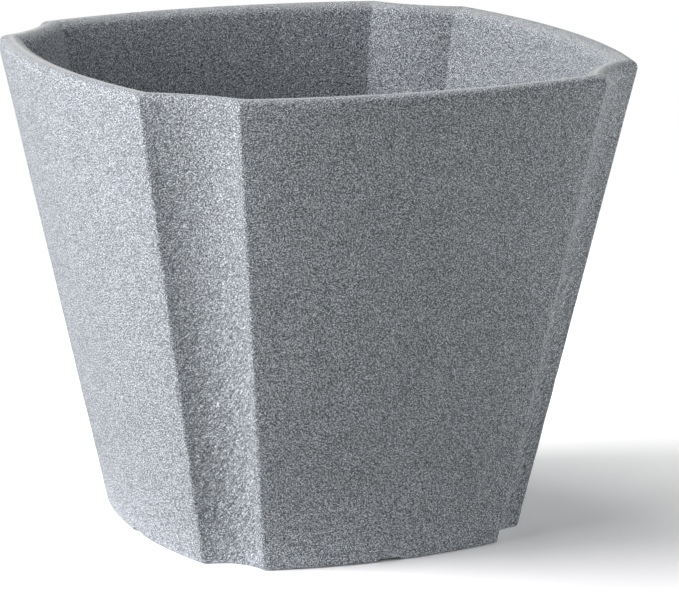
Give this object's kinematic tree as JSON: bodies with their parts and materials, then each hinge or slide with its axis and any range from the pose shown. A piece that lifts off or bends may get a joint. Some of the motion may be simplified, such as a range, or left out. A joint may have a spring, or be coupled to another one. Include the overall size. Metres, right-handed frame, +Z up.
{
  "type": "square planter",
  "caption": "Tapered square planter with bowed panels, hollow corner coves, a double wall with a rounded rim, and drains with pull-out plugs in its floor.",
  "frame": {"origin": "middle of the foot, on the ground", "axes": "+Z up through the middle of the planter, +X and +Y square to the middles of two panels; the front panel faces -Y"},
  "size_m": [0.3564, 0.3564, 0.295],
  "materials": {
    "granite_plastic": "matte moulded plastic with a fine granite speckle",
    "plug_rubber": "matte black rubber",
    "vent_plastic": "matte dark grey plastic"
  },
  "bodies": {
    "planter": {"planter_body": "granite_plastic", "vent_plug": "vent_plastic"},
    "front_plug": {"drain_plug_front": "plug_rubber"},
    "right_plug": {"drain_plug_right": "plug_rubber"},
    "back_plug": {"drain_plug_back": "plug_rubber"},
    "left_plug": {"drain_plug_left": "plug_rubber"}
  },
  "joints": [
    {"name": "front_plug_lift", "type": "slide", "parent": "planter", "child": "front_plug", "axis": [0, 0, 1], "range_m": [0, 0.31]},
    {"name": "right_plug_lift", "type": "slide", "parent": "planter", "child": "right_plug", "axis": [0, 0, 1], "range_m": [0, 0.31]},
    {"name": "back_plug_lift", "type": "slide", "parent": "planter", "child": "back_plug", "axis": [0, 0, 1], "range_m": [0, 0.31]},
    {"name": "left_plug_lift", "type": "slide", "parent": "planter", "child": "left_plug", "axis": [0, 0, 1], "range_m": [0, 0.31]}
  ]
}
